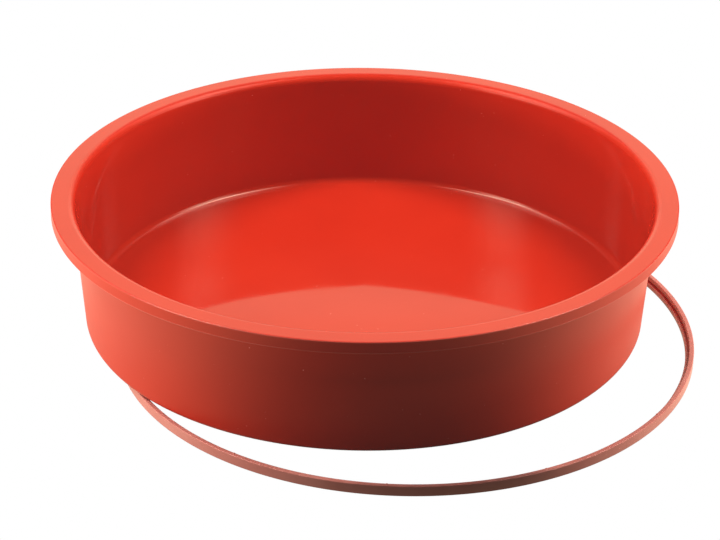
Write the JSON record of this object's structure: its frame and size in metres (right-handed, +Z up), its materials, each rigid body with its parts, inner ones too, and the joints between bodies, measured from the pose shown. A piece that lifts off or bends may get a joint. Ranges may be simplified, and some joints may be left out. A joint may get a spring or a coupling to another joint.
{
  "type": "round silicone cake pan",
  "caption": "Round soft silicone cake pan with a flat floor, drafted wall and turned-down rim, standing on its loose rigid support ring.",
  "frame": {"origin": "centre of the pan's baking floor, on the floor's upper face", "axes": "+Z up along the pan's axis, -Y towards the viewer of the picture, +X to the viewer's right"},
  "size_m": [0.2884, 0.2914, 0.0645],
  "materials": {
    "red_silicone": "gloss",
    "brown_nylon": "satin"
  },
  "bodies": {
    "ring": {"support_ring": "brown_nylon"},
    "pan": {"cake_pan": "red_silicone"}
  },
  "joints": [
    {"name": "pan_lift", "type": "slide", "parent": "ring", "child": "pan", "axis": [0, 0, 1], "range_m": [0, 0.12]}
  ]
}
